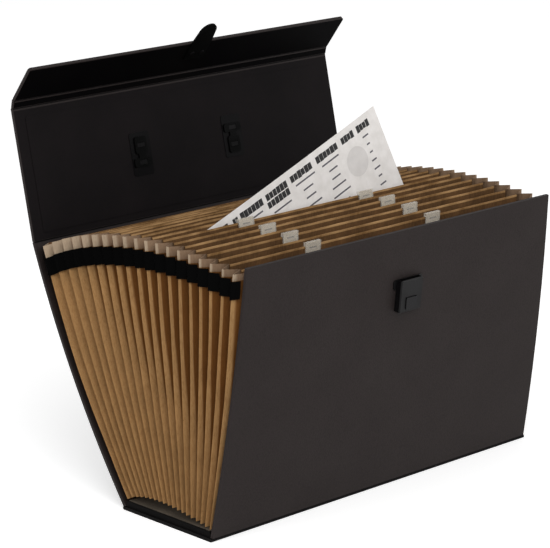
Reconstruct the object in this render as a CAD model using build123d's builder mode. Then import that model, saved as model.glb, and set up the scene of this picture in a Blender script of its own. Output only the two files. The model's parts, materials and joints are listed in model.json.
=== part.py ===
from build123d import *
from math import atan, cos, degrees, pi, radians, sin
import os

# Expanding file box, shown open. X runs along the width, -Y is the front, +Z is up.
# The origin is the centre of the underside of the base. All lengths are in millimetres,
# and a lean is in degrees from upright, positive towards the back.

# Cover boards
board_thickness = 3.0
cover_width = 391.0
base_overhang = 6.0
base_width = cover_width + 2 * base_overhang
base_depth = 114.5
foot_overhang = 5.0
foot_width = cover_width + 2 * foot_overhang
front_top_inset = 6.0
front_top_width = cover_width - 2 * front_top_inset
front_board_height = 245.2
back_board_height = 249.0
lid_depth = 120.5
strip_width = 8.5
flap_depth = 40.0
fold_gap = 0.3
corner_radius = 2.5

# How far the boards lean and bow in the open pose
front_tilt = -7.6
back_tilt = 30.2
lid_tilt = 12.7
flap_tilt = -37.0
front_bow = -3.3
back_bow = 8.0

# Base and linings
pad_thickness = 5.5
pad_chamfer = 0.8
pad_side_inset = 1.5
pad_clearance = 0.45
lining_thickness = 0.5
lining_margin = 12.0
lining_end_margin = 8.0
glue_line = 0.2

# Concertina
pocket_count = 19
card_thickness = 0.8
gusset_depth = 15.0
divider_width = cover_width - 2 * gusset_depth
divider_short = 1.0
pocket_height_back = 236.5
pocket_height_front = 229.5
pivot_span = 112.0
floor_depth = 105.0
floor_thickness = 0.6
floor_gap = 0.35
fan_rise = 8.0
fan_skew = 0.72
panel_foot = 10.0
pleat_outer_half_width = cover_width / 2
pleat_edge_gap = 0.6
pleat_thickness = 2.2
pleat_board_gap = 0.4
pleat_levels = 4
tape_levels = 1

# Reinforcing tape round the pleats
tape_from_edge = 9.5
tape_height = 16.0
tape_thickness = 1.0
tape_standoff = 1.6

# Index tabs
tab_dividers = (11, 13, 15, 17)
tab_places = (-84.0, 66.0)
tab_width = 18.0
tab_grip = 7.5
tab_rise = 3.3
tab_front_thickness = 1.2
tab_back_thickness = 0.6
tab_clearance = 0.3
label_width = 16.0
label_thickness = 0.3
label_clearance = 0.1
label_floor = 1.0

# Index sheet in one pocket
sheet_width = 280.0
sheet_height = 226.0
sheet_thickness = 0.4
sheet_tilt = 19.3
sheet_corner_x = -86.3
sheet_divider = 10
sheet_gap = 0.3

# Clasp: tongue on the flap, catch on the front board
clasp_x = 7.0
tongue_width = 24.0
tongue_tip_width = 20.0
tongue_thickness = 1.6
tongue_overlap = 20.0
tongue_reach = 24.0
tongue_window = (10.0, 5.0)
tongue_window_from_tip = 8.0
rivet_radius = 1.5
rivet_hole_clearance = 0.1
rivet_head_radius = 3.0
rivet_head_height = 0.8
rivet_head_chamfer = 0.5
tongue_rivet_spacing = 12.0
tongue_rivet_inset = 7.0
catch_height_up_board = 186.0
catch_width = 28.0
catch_height = 30.0
catch_depth = 6.4
catch_wall = 1.3
catch_floor_wall = 3.0
catch_back_wall = 0.8
catch_front_wall = 1.8
catch_seat = 0.1
catch_ear_width = 36.0
catch_ear_height = 9.0
catch_corner = 2.0
catch_edge_chamfer = 1.0
nib_size = (8.0, 3.0)
nib_height = 1.4
nib_from_centre = 1.5
button_width = 14.0
button_height = 11.0
button_from_centre = -6.5
button_clearance = 0.3
button_proud = 0.8
button_seat_gap = 0.6
button_dish_radius = 16.0
button_dish_depth = 0.5
catch_rivet_spacing = 16.0
catch_rivet_from_floor = 2.6
catch_rivet_head_radius = 2.2
catch_rivet_head_height = 0.5

# Carrying handle
handle_spacing = 115.0
handle_pad_width = 26.0
handle_pad_height = 36.0
handle_pad_thickness = 3.0
handle_grip_width = 22.0
handle_arch_outer = 32.0
handle_arch_inner = 25.5
handle_arch_foot = 9.0
handle_arch_lap = 2.5
handle_finger_gap = handle_spacing - handle_pad_width - 2 * handle_arch_lap
handle_edge_chamfer = 1.6
prong_spacing = 16.0
prong_width = 9.0
prong_depth = 4.0
prong_clearance = 0.3
plate_width = 24.0
plate_height = 40.0
plate_thickness = 0.5
keeper_thickness = 1.2
keeper_bar = (21.0, 8.0)
keeper_block = (14.0, 16.0)
keeper_neck_width = 8.0


def side_plane(point, lean):
    """Plane across the box: local x points to the back, local y up along the lean."""
    y, z = point
    tilt = radians(lean)
    return Plane(origin=(0, y, z), x_dir=(0, cos(tilt), -sin(tilt)), z_dir=(1, 0, 0))


def face_plane(point, lean):
    """Plane in a board: local x is X, local y up along the lean, local z to the front."""
    y, z = point
    tilt = radians(lean)
    return Plane(origin=(0, y, z), x_dir=(1, 0, 0), z_dir=(0, -cos(tilt), sin(tilt)))


def along(point, lean, distance, offset=0.0):
    """Point up a leaning line, then offset to the back, square to that line."""
    tilt = radians(lean)
    y = point[0] + distance * sin(tilt) + offset * cos(tilt)
    z = point[1] + distance * cos(tilt) - offset * sin(tilt)
    return y, z


def bowed(height, start, end, bow):
    """How far a bowed sheet stands off its chord at a height between start and end."""
    return 4 * bow * (height - start) * (end - height) / (end - start) ** 2


def sheet_profile(near, far, start, end, arc):
    """Side profile of a bowed sheet; arc gives the stand-off at a height."""
    middle = (start + end) / 2
    with BuildSketch() as profile:
        with BuildLine():
            ThreePointArc(
                (far + arc(start), start), (far + arc(middle), middle), (far + arc(end), end)
            )
            Line((far + arc(end), end), (near + arc(end), end))
            ThreePointArc(
                (near + arc(end), end), (near + arc(middle), middle), (near + arc(start), start)
            )
            Line((near + arc(start), start), (far + arc(start), start))
        make_face()
    return profile.sketch


def save(shape, name):
    """Label a finished shape and write it as one STEP file."""
    shape.label = name
    export_step(shape, f"parts/{name}.step")


# Places that everything else hangs from
half_board = board_thickness / 2
fold_start = half_board + fold_gap
front_fold = (-(base_depth / 2 - half_board), half_board)
back_fold = (base_depth / 2 - half_board, half_board)
lid_fold = along(back_fold, back_tilt, back_board_height)
strip_fold = along(lid_fold, lid_tilt, lid_depth)
strip_tilt = (lid_tilt + flap_tilt) / 2
flap_fold = along(strip_fold, strip_tilt, strip_width)
pad_top = board_thickness + pad_thickness
floor_level = pad_top + lining_thickness
pivot_level = floor_level + floor_thickness + floor_gap + card_thickness / 2
card_inset = half_board + glue_line + card_thickness


def front_arc(height):
    """Stand-off of the front board from its chord."""
    return bowed(height, fold_start, front_board_height, front_bow)


def back_arc(height):
    """Stand-off of the back board from its chord."""
    return bowed(height, fold_start, back_board_height, back_bow)


def lean_at(share):
    """Lean of the fan, from 0 at the back board to 1 at the front board."""
    return back_tilt + (front_tilt - back_tilt) * share


def bow_at(share):
    """Bow of the fan."""
    return back_bow + (front_bow - back_bow) * share


def pocket_height_at(share):
    """Height of the pleats, graduated from back to front."""
    return pocket_height_back + (pocket_height_front - pocket_height_back) * share


def rise_at(y):
    """How far the open fan lifts the feet of the pockets off their floor."""
    share = min(max(0.5 - y / floor_depth, 0.0), 1.0)
    return fan_rise * sin(pi * share**fan_skew)


def pivot_at(share):
    """Foot of a divider or fold line in the open fan."""
    y = pivot_span * (0.5 - share)
    return y, pivot_level + rise_at(y)


def fold_point(share, reach):
    """Point up a fold line of the pleats; the end folds follow the boards."""
    if share == 0:
        offset = back_arc(panel_foot + reach) - card_inset - pleat_board_gap
        return along(back_fold, back_tilt, panel_foot + reach, offset)
    if share == 1:
        offset = front_arc(panel_foot + reach) + card_inset + pleat_board_gap
        return along(front_fold, front_tilt, panel_foot + reach, offset)
    offset = bowed(reach, 0, pocket_height_at(share), bow_at(share))
    return along(pivot_at(share), lean_at(share), reach, offset)


def pleats(low, high, inner_half_width, outer_half_width, thickness, levels):
    """Pleated sheet on the left side, between two edges given as functions of the share.

    Each panel between two folds is slightly twisted, so it is built from flat triangles.
    """
    shift = Vector(-thickness, 0, 0)
    rows = []
    for fold in range(2 * pocket_count + 1):
        share = fold / (2 * pocket_count)
        half_width = outer_half_width - thickness if fold % 2 else inner_half_width
        reaches = [
            low(share) + (high(share) - low(share)) * level / levels
            for level in range(levels + 1)
        ]
        rows.append([Vector(-half_width, *fold_point(share, reach)) for reach in reaches])

    faces = []
    for row, next_row in zip(rows, rows[1:]):
        for level in range(levels):
            low_corner, high_corner = row[level], next_row[level + 1]
            for middle_corner in (row[level + 1], next_row[level]):
                for move, side in ((Vector(), Vector(1, 0, 0)), (shift, Vector(-1, 0, 0))):
                    corners = [low_corner + move, middle_corner + move, high_corner + move]
                    faces.append(facing(Face(Wire.make_polygon(corners)), side))
        faces.append(facing(strip(row[0], next_row[0], shift), Vector(0, 0, -1)))
        faces.append(facing(strip(row[-1], next_row[-1], shift), Vector(0, 0, 1)))
    for row, side in ((rows[0], Vector(0, 1, 0)), (rows[-1], Vector(0, -1, 0))):
        for start, end in zip(row, row[1:]):
            faces.append(facing(strip(start, end, shift), side))
    return Solid(Shell(faces))


def strip(start, end, shift):
    """Flat edge face of a sheet, from start to end and across its thickness."""
    return Face(Wire.make_polygon([start, end, end + shift, start + shift]))


def facing(face, direction):
    """Face turned so that its normal looks along a direction."""
    return face if face.normal_at().dot(direction) > 0 else -face


def board_outline(top_width, height):
    """Outline of a board that narrows from its foot to a top width."""
    low = -board_thickness
    high = height + board_thickness
    with BuildSketch() as outline:
        with BuildLine():
            Polyline(
                (-foot_width / 2, low),
                (foot_width / 2, low),
                (top_width / 2, high),
                (-top_width / 2, high),
                close=True,
            )
        make_face()
    return outline.sketch


def tape_top_at(share):
    """Height of the upper edge of the tape."""
    return pocket_height_at(share) - tape_from_edge


os.makedirs("parts", exist_ok=True)

# Base: a covered board with rounded fold edges, a stiffening pad and a paper lining
with BuildPart() as base_board:
    with BuildSketch(side_plane((0, half_board), 0)):
        SlotOverall(base_depth, board_thickness)
    extrude(amount=base_width / 2, both=True)
save(base_board.part, "base_board")

pad_width = base_width - 2 * pad_side_inset
pad_depth = base_depth - 2 * (board_thickness + pad_clearance)
with BuildPart() as base_pad:
    with BuildSketch(Plane.XY.offset(board_thickness)):
        Rectangle(pad_width, pad_depth)
    extrude(amount=pad_thickness)
    chamfer(base_pad.edges().group_by(Axis.Z)[-1].filter_by(Axis.X), length=pad_chamfer)
save(base_pad.part, "base_pad")

with BuildPart() as base_lining:
    with BuildSketch(Plane.XY.offset(pad_top)):
        Rectangle(pad_width - 2 * pad_side_inset, pad_depth - 2 * pad_side_inset)
    extrude(amount=lining_thickness)
save(base_lining.part, "base_lining")

# Kraft floor under the pockets, which come down on it when the box closes
with BuildPart() as pocket_floor:
    with BuildSketch(Plane.XY.offset(floor_level)):
        Rectangle(divider_width, floor_depth)
    extrude(amount=floor_thickness)
save(pocket_floor.part, "pocket_floor")

# Front board, bowed outwards and tapered towards its top, pierced for the catch rivets
catch_slope = degrees(
    atan(
        4
        * front_bow
        * (fold_start + front_board_height - 2 * catch_height_up_board)
        / (front_board_height - fold_start) ** 2
    )
)
catch_offset = front_arc(catch_height_up_board) - half_board - catch_seat
catch_point = along(front_fold, front_tilt, catch_height_up_board, catch_offset)
catch_plane = face_plane(catch_point, front_tilt + catch_slope)
catch_places = Plane(catch_plane.location * Location((clasp_x, 0, 0)))
rivet_y = -catch_height / 2 + catch_floor_wall + catch_rivet_from_floor
catch_rivet_places = [
    (-catch_rivet_spacing / 2, rivet_y),
    (catch_rivet_spacing / 2, rivet_y),
]

with BuildPart() as front_board:
    with BuildSketch(side_plane(front_fold, front_tilt)):
        add(sheet_profile(-half_board, half_board, fold_start, front_board_height, front_arc))
    extrude(amount=foot_width / 2, both=True)
    with BuildSketch(face_plane(front_fold, front_tilt)):
        add(board_outline(front_top_width, front_board_height))
    extrude(amount=base_depth, both=True, mode=Mode.INTERSECT)
    with BuildSketch(catch_places):
        with Locations(*catch_rivet_places):
            Circle(rivet_radius + rivet_hole_clearance)
    extrude(amount=-2 * board_thickness, mode=Mode.SUBTRACT)
save(front_board.part, "front_board")

front_panel_near = half_board + glue_line
front_panel_top = panel_foot + pocket_height_front
with BuildPart() as front_pocket_panel:
    with BuildSketch(side_plane(front_fold, front_tilt)):
        add(
            sheet_profile(
                front_panel_near,
                front_panel_near + card_thickness,
                panel_foot,
                front_panel_top,
                front_arc,
            )
        )
    extrude(amount=divider_width / 2, both=True)
save(front_pocket_panel.part, "front_pocket_panel")

# Back board, bowed outwards, with a rounded fold edge for the lid
with BuildPart() as back_board:
    with BuildSketch(side_plane(back_fold, back_tilt)):
        add(sheet_profile(-half_board, half_board, fold_start, back_board_height, back_arc))
        with Locations((0, back_board_height)):
            Circle(half_board)
    extrude(amount=foot_width / 2, both=True)
    with BuildSketch(face_plane(back_fold, back_tilt)):
        add(board_outline(cover_width, back_board_height))
    extrude(amount=base_depth, both=True, mode=Mode.INTERSECT)
save(back_board.part, "back_board")

back_panel_far = -half_board - glue_line
back_panel_top = panel_foot + pocket_height_back
with BuildPart() as back_pocket_panel:
    with BuildSketch(side_plane(back_fold, back_tilt)):
        add(
            sheet_profile(
                back_panel_far - card_thickness,
                back_panel_far,
                panel_foot,
                back_panel_top,
                back_arc,
            )
        )
    extrude(amount=divider_width / 2, both=True)
save(back_pocket_panel.part, "back_pocket_panel")

# Lid, with slots for the prongs of the handle
handle_height = lid_depth / 2
slot_places = [
    (side * handle_spacing / 2, handle_height + level * prong_spacing / 2)
    for side in (-1, 1)
    for level in (-1, 1)
]
slot_size = (prong_width + 2 * prong_clearance, prong_depth + 2 * prong_clearance)
lid_side = side_plane(lid_fold, lid_tilt)
lid_face = face_plane(lid_fold, lid_tilt)

with BuildPart() as lid_board:
    with BuildSketch(lid_side):
        with Locations((0, (fold_start + lid_depth) / 2)):
            Rectangle(board_thickness, lid_depth - fold_start)
        with Locations((0, lid_depth)):
            Circle(half_board)
    extrude(amount=cover_width / 2, both=True)
    with BuildSketch(lid_face):
        with Locations(*slot_places):
            Rectangle(*slot_size)
    extrude(amount=board_thickness, both=True, mode=Mode.SUBTRACT)
save(lid_board.part, "lid_board")

lining_near = half_board + glue_line / 2
with BuildPart() as lid_lining:
    with BuildSketch(lid_face.offset(lining_near)):
        with Locations((0, lid_depth / 2)):
            RectangleRounded(
                cover_width - 2 * lining_margin, lid_depth - 2 * lining_end_margin, corner_radius
            )
        with Locations(*slot_places):
            Rectangle(*slot_size, mode=Mode.SUBTRACT)
    extrude(amount=lining_thickness)
save(lid_lining.part, "lid_lining")

# Carrying handle: two pads joined by an arched grip, with prongs through the lid
plate_near = lining_near + lining_thickness
keeper_near = plate_near + plate_thickness
prong_length = keeper_near + keeper_thickness + half_board
handle_plane = Plane(
    origin=lid_face.from_local_coords((0, handle_height, -half_board)),
    x_dir=lid_face.x_dir,
    z_dir=lid_face.y_dir,
)
with BuildPart() as carry_handle:
    with BuildSketch(handle_plane):
        with BuildLine():
            outer_foot = handle_finger_gap / 2 + handle_arch_foot
            inner_foot = handle_finger_gap / 2
            ThreePointArc((-outer_foot, 0), (0, handle_arch_outer), (outer_foot, 0))
            Line((outer_foot, 0), (inner_foot, 0))
            ThreePointArc((inner_foot, 0), (0, handle_arch_inner), (-inner_foot, 0))
            Line((-inner_foot, 0), (-outer_foot, 0))
        make_face()
    extrude(amount=handle_grip_width / 2, both=True)
    chamfer(carry_handle.edges().filter_by(GeomType.CIRCLE), length=handle_edge_chamfer)
    for side in (-1, 1):
        with BuildSketch(lid_face.offset(-half_board)):
            with Locations((side * handle_spacing / 2, handle_height)):
                RectangleRounded(handle_pad_width, handle_pad_height, corner_radius)
        extrude(amount=-handle_pad_thickness)
    with BuildSketch(lid_face.offset(-half_board)):
        with Locations(*slot_places):
            Rectangle(prong_width, prong_depth)
    extrude(amount=prong_length)
save(carry_handle.part, "carry_handle")

for side, word in ((-1, "left"), (1, "right")):
    with BuildPart() as handle_plate:
        with BuildSketch(lid_face.offset(plate_near)):
            with Locations((side * handle_spacing / 2, handle_height)):
                RectangleRounded(plate_width, plate_height, corner_radius)
            with Locations(*slot_places):
                Rectangle(*slot_size, mode=Mode.SUBTRACT)
        extrude(amount=plate_thickness)
    save(handle_plate.part, f"handle_plate_{word}")

    bar_y = handle_height + side * prong_spacing / 2
    block_y = handle_height - side * prong_spacing / 2
    with BuildPart() as handle_keeper:
        with BuildSketch(lid_face.offset(keeper_near)):
            with Locations((side * handle_spacing / 2, bar_y)):
                RectangleRounded(*keeper_bar, corner_radius)
            with Locations((side * handle_spacing / 2, block_y)):
                RectangleRounded(*keeper_block, corner_radius)
            with Locations((side * handle_spacing / 2, handle_height)):
                Rectangle(keeper_neck_width, prong_spacing)
            with Locations(*slot_places):
                Rectangle(*slot_size, mode=Mode.SUBTRACT)
        extrude(amount=keeper_thickness)
    save(handle_keeper.part, f"handle_keeper_{word}")

# Narrow fold strip and the front flap
with BuildPart() as fold_strip:
    with BuildSketch(side_plane(strip_fold, strip_tilt)):
        with Locations((0, (fold_start + strip_width) / 2)):
            Rectangle(board_thickness, strip_width - fold_start)
        with Locations((0, strip_width)):
            Circle(half_board)
    extrude(amount=cover_width / 2, both=True)
save(fold_strip.part, "fold_strip")

flap_face = face_plane(flap_fold, flap_tilt)
tongue_rivet_y = flap_depth - tongue_overlap + tongue_rivet_inset
tongue_rivet_places = [
    (clasp_x - tongue_rivet_spacing / 2, tongue_rivet_y),
    (clasp_x + tongue_rivet_spacing / 2, tongue_rivet_y),
]
with BuildPart() as flap_board:
    with BuildSketch(flap_face.offset(-half_board)):
        with Locations((0, (fold_start + flap_depth) / 2)):
            Rectangle(cover_width, flap_depth - fold_start)
        with Locations(*tongue_rivet_places):
            Circle(rivet_radius + rivet_hole_clearance, mode=Mode.SUBTRACT)
    extrude(amount=board_thickness)
    flap_corners = flap_board.edges().filter_by(Axis((0, 0, 0), flap_face.z_dir))
    fillet(flap_corners.group_by(Axis((0, 0, 0), flap_face.y_dir))[-1], radius=corner_radius)
save(flap_board.part, "flap_board")

# Clasp tongue: a riveted blade with a rounded tip and a window for the catch
tongue_foot_y = flap_depth - tongue_overlap
tongue_tip_y = flap_depth + tongue_reach
with BuildPart() as clasp_tongue:
    with BuildSketch(flap_face.offset(half_board)):
        with BuildLine():
            half_foot = tongue_width / 2
            half_tip = tongue_tip_width / 2
            tip_side_y = tongue_tip_y - half_tip
            left_side = Polyline(
                (clasp_x - half_tip, tip_side_y),
                (clasp_x - half_foot, flap_depth),
                (clasp_x - half_foot, tongue_foot_y),
                (clasp_x + half_foot, tongue_foot_y),
                (clasp_x + half_foot, flap_depth),
                (clasp_x + half_tip, tip_side_y),
            )
            ThreePointArc(left_side @ 1, (clasp_x, tongue_tip_y), left_side @ 0)
        make_face()
        with Locations((clasp_x, tongue_tip_y - tongue_window_from_tip)):
            RectangleRounded(*tongue_window, radius=0.8, mode=Mode.SUBTRACT)
        with Locations(*tongue_rivet_places):
            Circle(rivet_radius + rivet_hole_clearance, mode=Mode.SUBTRACT)
    extrude(amount=tongue_thickness)
save(clasp_tongue.part, "clasp_tongue")

rivet_grip = board_thickness + tongue_thickness
with BuildPart() as tongue_rivets:
    with BuildSketch(flap_face.offset(-half_board)):
        with Locations(*tongue_rivet_places):
            Circle(rivet_head_radius)
    extrude(amount=-rivet_head_height)
    with BuildSketch(flap_face.offset(half_board + tongue_thickness)):
        with Locations(*tongue_rivet_places):
            Circle(rivet_head_radius)
    extrude(amount=rivet_head_height)
    rim_circles = tongue_rivets.edges().filter_by(GeomType.CIRCLE)
    head_axis = Axis((0, 0, 0), flap_face.z_dir)
    outer_rims = rim_circles.group_by(head_axis)[0] + rim_circles.group_by(head_axis)[-1]
    chamfer(outer_rims, length=rivet_head_chamfer)
    with BuildSketch(flap_face.offset(-half_board)):
        with Locations(*tongue_rivet_places):
            Circle(rivet_radius)
    extrude(amount=rivet_grip)
save(tongue_rivets.part, "tongue_rivets")

# Catch: open-topped housing with ears, a nib for the tongue's window and a push button
cavity_width = catch_width - 2 * catch_wall
cavity_depth = catch_depth - catch_back_wall - catch_front_wall
cavity_height = catch_height - catch_floor_wall
with BuildPart() as catch_housing:
    with BuildSketch(catch_places):
        RectangleRounded(catch_width, catch_height, catch_corner)
    extrude(amount=catch_depth)
    catch_front = catch_housing.faces().sort_by(Axis((0, 0, 0), catch_plane.z_dir))[-1]
    chamfer(catch_front.outer_wire().edges(), length=catch_edge_chamfer)
    with BuildSketch(catch_places):
        with Locations((0, catch_height / 2 - catch_ear_height / 2)):
            RectangleRounded(catch_ear_width, catch_ear_height, catch_corner)
    extrude(amount=catch_back_wall)
    with BuildSketch(catch_places.offset(catch_back_wall)):
        with Locations((0, (catch_floor_wall + catch_corner) / 2)):
            Rectangle(cavity_width, cavity_height + catch_corner)
    extrude(amount=cavity_depth, mode=Mode.SUBTRACT)
    with BuildSketch(catch_places.offset(catch_back_wall)):
        with Locations((0, button_from_centre)):
            Rectangle(button_width, button_height)
    extrude(amount=catch_depth, mode=Mode.SUBTRACT)
    with BuildSketch(catch_places.offset(catch_depth - catch_front_wall)):
        with Locations((0, nib_from_centre)):
            Rectangle(*nib_size)
    extrude(amount=-nib_height)
    with BuildSketch(catch_places):
        with Locations(*catch_rivet_places):
            Circle(rivet_radius + rivet_hole_clearance)
    extrude(amount=catch_back_wall, mode=Mode.SUBTRACT)
save(catch_housing.part, "catch_housing")

button_back = catch_depth - catch_front_wall + button_seat_gap
with BuildPart() as catch_button:
    with BuildSketch(catch_places.offset(button_back)):
        with Locations((0, button_from_centre)):
            RectangleRounded(
                button_width - 2 * button_clearance, button_height - 2 * button_clearance, 1.0
            )
    extrude(amount=catch_depth + button_proud - button_back)
save(catch_button.part, "catch_button")

with BuildPart() as catch_rivets:
    with BuildSketch(catch_places.offset(catch_back_wall)):
        with Locations(*catch_rivet_places):
            Circle(catch_rivet_head_radius)
    extrude(amount=catch_rivet_head_height)
    with BuildSketch(catch_places.offset(catch_back_wall)):
        with Locations(*catch_rivet_places):
            Circle(rivet_radius)
    extrude(amount=-(catch_back_wall + catch_seat + board_thickness))
save(catch_rivets.part, "catch_rivets")

# Dividers, each with a rounded foot, and the index tabs on four of them
half_card = card_thickness / 2
for number in range(1, pocket_count):
    share = number / pocket_count
    height = pocket_height_at(share) - divider_short
    bow = bow_at(share)
    divider_side = side_plane(pivot_at(share), lean_at(share))
    with BuildPart() as divider:
        with BuildSketch(divider_side):
            add(sheet_profile(-half_card, half_card, 0, height, lambda h: bowed(h, 0, height, bow)))
            Circle(half_card)
        extrude(amount=divider_width / 2, both=True)
    save(divider.part, f"divider_{number:02d}")

    if number in tab_dividers:
        slot_half = half_card + tab_clearance
        tab_foot = height - tab_grip
        tab_height = tab_grip + tab_rise
        tab_thickness = 2 * slot_half + tab_front_thickness + tab_back_thickness
        with BuildPart() as tab_holders:
            for place in tab_places:
                with BuildSketch(divider_side.offset(place - tab_width / 2)):
                    with Locations((-slot_half - tab_front_thickness, tab_foot)):
                        Rectangle(tab_thickness, tab_height, align=(Align.MIN, Align.MIN))
                    with Locations((0, height + tab_clearance)):
                        Rectangle(
                            2 * slot_half,
                            2 * tab_grip,
                            align=(Align.CENTER, Align.MAX),
                            mode=Mode.SUBTRACT,
                        )
                    with Locations((-slot_half - tab_front_thickness / 2, tab_foot + label_floor)):
                        Rectangle(
                            label_thickness + 2 * label_clearance,
                            tab_height,
                            align=(Align.CENTER, Align.MIN),
                            mode=Mode.SUBTRACT,
                        )
                extrude(amount=tab_width)
        save(tab_holders.part, f"tab_holders_{number:02d}")

        label_foot = tab_foot + label_floor + label_clearance
        label_height = tab_height - label_floor - 2 * label_clearance
        with BuildPart() as tab_labels:
            for place in tab_places:
                with BuildSketch(divider_side.offset(place - label_width / 2)):
                    with Locations((-slot_half - tab_front_thickness / 2, label_foot)):
                        Rectangle(
                            label_thickness, label_height, align=(Align.CENTER, Align.MIN)
                        )
                extrude(amount=label_width)
        save(tab_labels.part, f"tab_labels_{number:02d}")

# Index sheet, standing on one corner and leaning on the divider behind it
sheet_share = sheet_divider / pocket_count
sheet_face = face_plane(pivot_at(sheet_share), lean_at(sheet_share))
sheet_plane = Plane(
    sheet_face.offset(half_card + sheet_gap).location
    * Location((sheet_corner_x, 0, 0), (0, 0, sheet_tilt))
)
with BuildPart() as index_sheet:
    with BuildSketch(sheet_plane):
        Rectangle(sheet_width, sheet_height, align=(Align.MIN, Align.MIN))
    extrude(amount=sheet_thickness)
save(index_sheet.part, "index_sheet")

# Pleated gussets and the tape round them, left side first and mirrored to the right
pleat_inner_half_width = divider_width / 2 + pleat_edge_gap
gusset = pleats(
    lambda share: 0.0,
    pocket_height_at,
    pleat_inner_half_width,
    pleat_outer_half_width,
    pleat_thickness,
    pleat_levels,
)
tape_step = pleat_thickness + tape_standoff
tape = pleats(
    lambda share: tape_top_at(share) - tape_height,
    tape_top_at,
    pleat_inner_half_width + tape_step,
    pleat_outer_half_width + tape_standoff + tape_thickness,
    tape_thickness,
    tape_levels,
)
for sheet, word in ((gusset, "gusset"), (tape, "tape")):
    save(sheet, f"left_{word}")
    save(mirror(sheet, about=Plane.YZ), f"right_{word}")
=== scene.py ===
import json
import logging
import math
from dataclasses import dataclass
from enum import Enum
from typing import Callable, Sequence

import bpy
from bpy.types import Material, Node, NodeSocket, NodeTree, Object
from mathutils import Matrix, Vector, noise


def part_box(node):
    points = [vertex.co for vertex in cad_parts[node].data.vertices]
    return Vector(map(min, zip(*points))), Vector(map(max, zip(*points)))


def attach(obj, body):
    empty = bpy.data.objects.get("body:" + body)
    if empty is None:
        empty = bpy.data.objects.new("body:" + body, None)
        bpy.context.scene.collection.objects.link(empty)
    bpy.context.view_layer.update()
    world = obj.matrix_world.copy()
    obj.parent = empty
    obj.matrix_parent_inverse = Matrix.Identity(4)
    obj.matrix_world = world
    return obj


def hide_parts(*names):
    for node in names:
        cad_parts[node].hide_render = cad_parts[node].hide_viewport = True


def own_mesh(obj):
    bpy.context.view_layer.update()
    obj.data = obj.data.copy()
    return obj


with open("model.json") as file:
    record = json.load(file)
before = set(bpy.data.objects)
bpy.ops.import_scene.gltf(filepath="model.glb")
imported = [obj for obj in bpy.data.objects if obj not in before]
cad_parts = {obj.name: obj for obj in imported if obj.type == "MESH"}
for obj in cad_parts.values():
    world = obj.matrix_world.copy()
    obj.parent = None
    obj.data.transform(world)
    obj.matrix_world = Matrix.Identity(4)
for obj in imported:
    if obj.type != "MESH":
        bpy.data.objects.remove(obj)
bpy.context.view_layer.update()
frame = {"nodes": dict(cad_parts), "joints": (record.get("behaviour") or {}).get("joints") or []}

MM = 0.001
NODES = frame["nodes"]
log = logging.getLogger("file_box")

Pair = tuple[float, float]
Triple = tuple[float, float, float]
Span = Callable[[float], Pair]

WHITE = (1.0, 1.0, 1.0, 1.0)
CORNERS = ((-1, -1), (1, -1), (1, 1), (-1, 1))


# ---------------------------------------------------------------- shared helpers


def hex_to_linear(code: str) -> tuple[float, float, float, float]:
    """Turns an sRGB hex colour into linear RGBA.

    Args:
        code: Six hex digits after a hash.

    Returns:
        Linear red, green and blue from 0 to 1, and an alpha of 1.
    """
    channels = []
    for start in (1, 3, 5):
        value = int(code[start : start + 2], 16) / 255
        channels.append(value / 12.92 if value <= 0.04045 else ((value + 0.055) / 1.055) ** 2.4)
    return channels[0], channels[1], channels[2], 1.0


class Graph:
    """Nodes of one material, or of the world, in the making."""

    def __init__(self, tree: NodeTree) -> None:
        """Starts from an empty tree."""
        tree.nodes.clear()
        self.tree = tree
        self.shader: Node | None = None
        self.here: dict[str, NodeSocket] = {}

    def add(
        self,
        kind: str,
        settings: dict[str | int, object] | None = None,
        links: dict[str | int, Node | NodeSocket] | None = None,
    ) -> Node:
        """Adds a node with its settings and links.

        Args:
            kind: Type of the node, without its leading "ShaderNode".
            settings: Properties by name, and input values by name or number.
            links: What feeds an input, by its name or number; a node gives its first output.

        Returns:
            The new node.
        """
        node = self.tree.nodes.new(f"ShaderNode{kind}")
        for key, value in (settings or {}).items():
            if isinstance(key, str) and hasattr(node, key):
                setattr(node, key, value)
            else:
                node.inputs[key].default_value = value
        for key, source in (links or {}).items():
            self._link(source, node.inputs[key])
        return node

    def feed(self, name: str, source: Node | NodeSocket) -> None:
        """Feeds an input of the shader."""
        self._link(source, self.shader.inputs[name])

    def _link(self, source: Node | NodeSocket, target: NodeSocket) -> None:
        """Links a socket, or the first output of a node, to an input."""
        self.tree.links.new(getattr(source, "outputs", [source])[0], target)


def place_object(name: str, data: bpy.types.ID) -> Object:
    """Puts a mesh, a lamp or a camera into the scene as an object at the origin.

    Args:
        name: Name of the object.
        data: The mesh, lamp or camera.

    Returns:
        The new object.
    """
    obj = bpy.data.objects.new(name, data)
    bpy.context.scene.collection.objects.link(obj)
    return obj


def build_piece(
    name: str,
    points: Sequence[Vector],
    faces: Sequence[Sequence[int]],
    sharp_angle: float = 40.0,
) -> Object:
    """Makes a smooth-shaded piece with sharp edges from points and faces.

    Args:
        name: Name of the piece.
        points: Vertices in metres in the row frame.
        faces: Vertex numbers of each face.
        sharp_angle: Angle in degrees above which an edge stays sharp.

    Returns:
        The new object.
    """
    mesh = bpy.data.meshes.new(name)
    mesh.from_pydata([tuple(p) for p in points], [], [tuple(f) for f in faces])
    mesh.validate()
    mesh.update()
    mesh.polygons.foreach_set("use_smooth", [True] * len(mesh.polygons))
    mesh.set_sharp_from_angle(angle=math.radians(sharp_angle))
    return place_object(name, mesh)


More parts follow.
